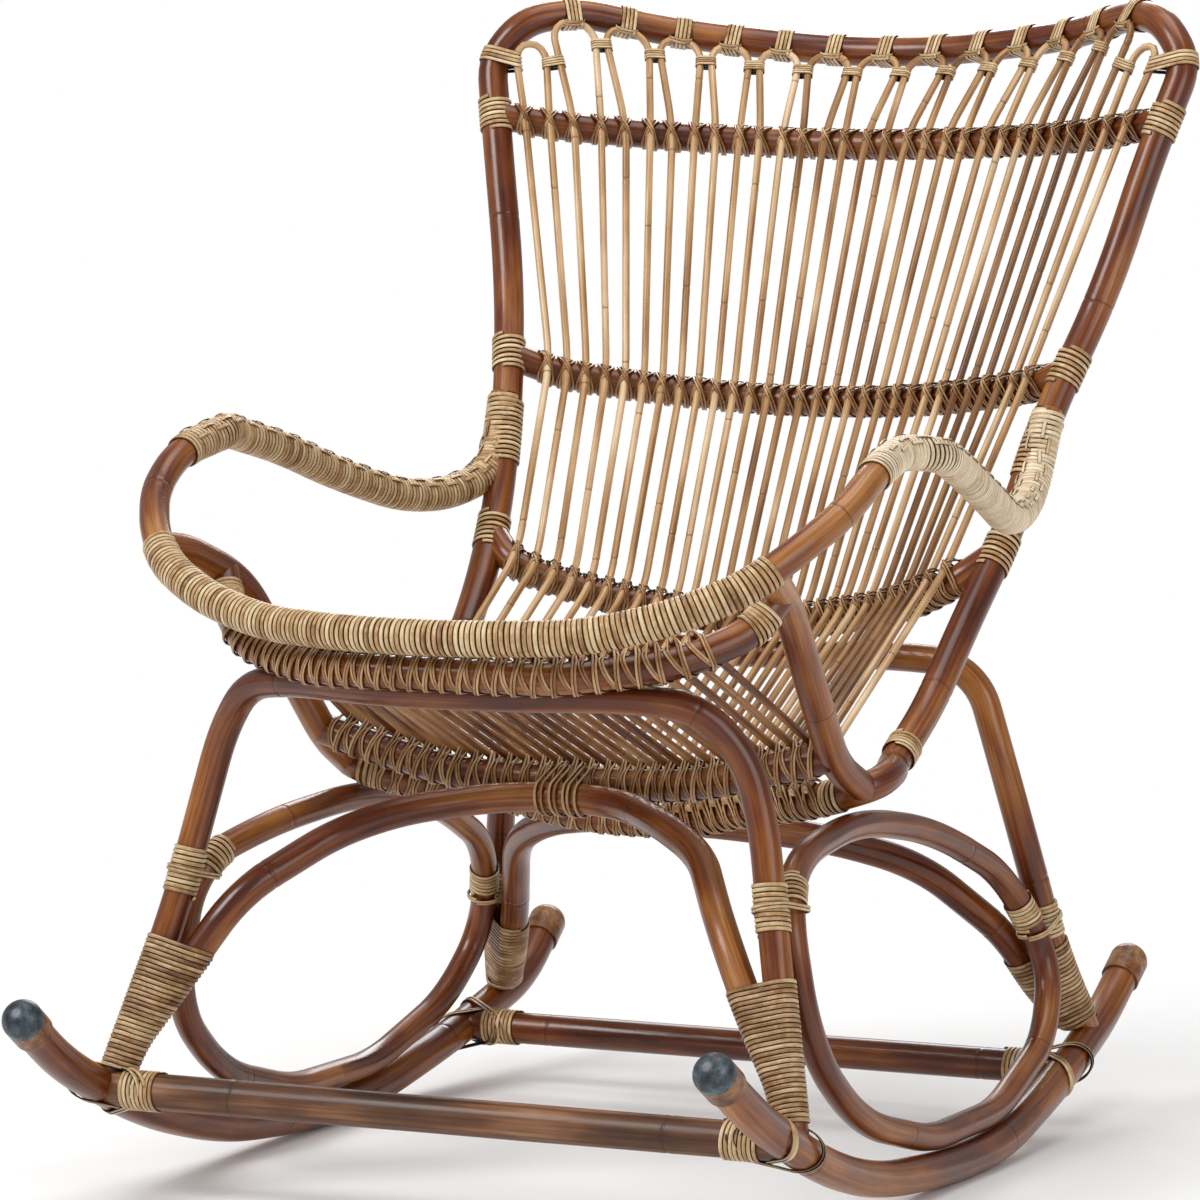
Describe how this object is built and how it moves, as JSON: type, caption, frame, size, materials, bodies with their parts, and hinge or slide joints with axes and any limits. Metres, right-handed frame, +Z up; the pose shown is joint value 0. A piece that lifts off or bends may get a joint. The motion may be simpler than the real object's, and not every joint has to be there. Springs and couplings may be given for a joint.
{
  "type": "rocking chair",
  "caption": "High-back rocking chair of bent rattan poles lashed with cane, with a rod seat and back, wrapped arms, oval side rings and two curved rockers.",
  "frame": {"origin": "on the floor, in the middle of the chair's outline", "axes": "+X to the sitter's left, which is the right side seen from the front; +Y to the back; +Z up"},
  "size_m": [0.6894, 1.0644, 0.9613],
  "materials": {
    "brown_pole": "semi-gloss lacquer",
    "bark_pole": "rough bark, worn",
    "tan_rod": "semi-gloss lacquer",
    "straw_cane": "satin split cane",
    "pale_cane": "satin split cane",
    "dark_cap": "smooth, slightly glossy",
    "brown_cap": "glossy",
    "nail": "plain"
  },
  "bodies": {
    "root": {"arm_and_front_pole": "brown_pole", "arm_joint_wrap_left": "straw_cane", "arm_joint_wrap_right": "straw_cane", "arm_wrap_left": "straw_cane", "arm_wrap_right": "pale_cane", "back_bottom_rail": "brown_pole", "back_frame_hoop": "brown_pole", "back_spindles": "tan_rod", "frame_nails": "nail", "front_brace_arch": "brown_pole", "front_corner_wrap_left": "straw_cane", "front_corner_wrap_right": "straw_cane", "front_edge_wrap": "straw_cane", "front_leg_arch": "brown_pole", "front_leg_lashing_left": "straw_cane", "front_leg_lashing_right": "straw_cane", "front_stretcher": "bark_pole", "front_stretcher_lashing_left": "straw_cane", "front_stretcher_lashing_right": "straw_cane", "front_tip_cap_left": "dark_cap", "front_tip_cap_right": "dark_cap", "lower_back_rail": "brown_pole", "lower_post_band_left": "straw_cane", "lower_post_band_right": "straw_cane", "middle_back_rail": "brown_pole", "middle_post_band_left": "straw_cane", "middle_post_band_right": "straw_cane", "post_splice_band_left": "straw_cane", "post_splice_band_right": "straw_cane", "rail_cross_ties": "straw_cane", "rear_brace_arch": "brown_pole", "rear_leg_arch": "brown_pole", "rear_leg_lashing_left": "straw_cane", "rear_leg_lashing_right": "straw_cane", "rear_stretcher": "brown_pole", "rear_stretcher_lashing_left": "straw_cane", "rear_stretcher_lashing_right": "straw_cane", "rear_tip_cap_left": "brown_cap", "rear_tip_cap_right": "brown_cap", "ring_front_lashing_left": "straw_cane", "ring_front_lashing_right": "straw_cane", "ring_rear_lashing_left": "straw_cane", "ring_rear_lashing_right": "straw_cane", "rocker_left": "brown_pole", "rocker_right": "brown_pole", "seat_front_rail": "brown_pole", "seat_rear_rail": "brown_pole", "seat_rods": "tan_rod", "seat_side_rail_left": "brown_pole", "seat_side_rail_right": "brown_pole", "side_rail_foot_band_left": "straw_cane", "side_rail_foot_band_right": "straw_cane", "side_ring_left": "brown_pole", "side_ring_right": "brown_pole", "spindle_pair_ties": "straw_cane", "top_rail_ties": "straw_cane", "upper_back_rail": "brown_pole", "upper_post_band_left": "straw_cane", "upper_post_band_right": "straw_cane"}
  },
  "joints": []
}
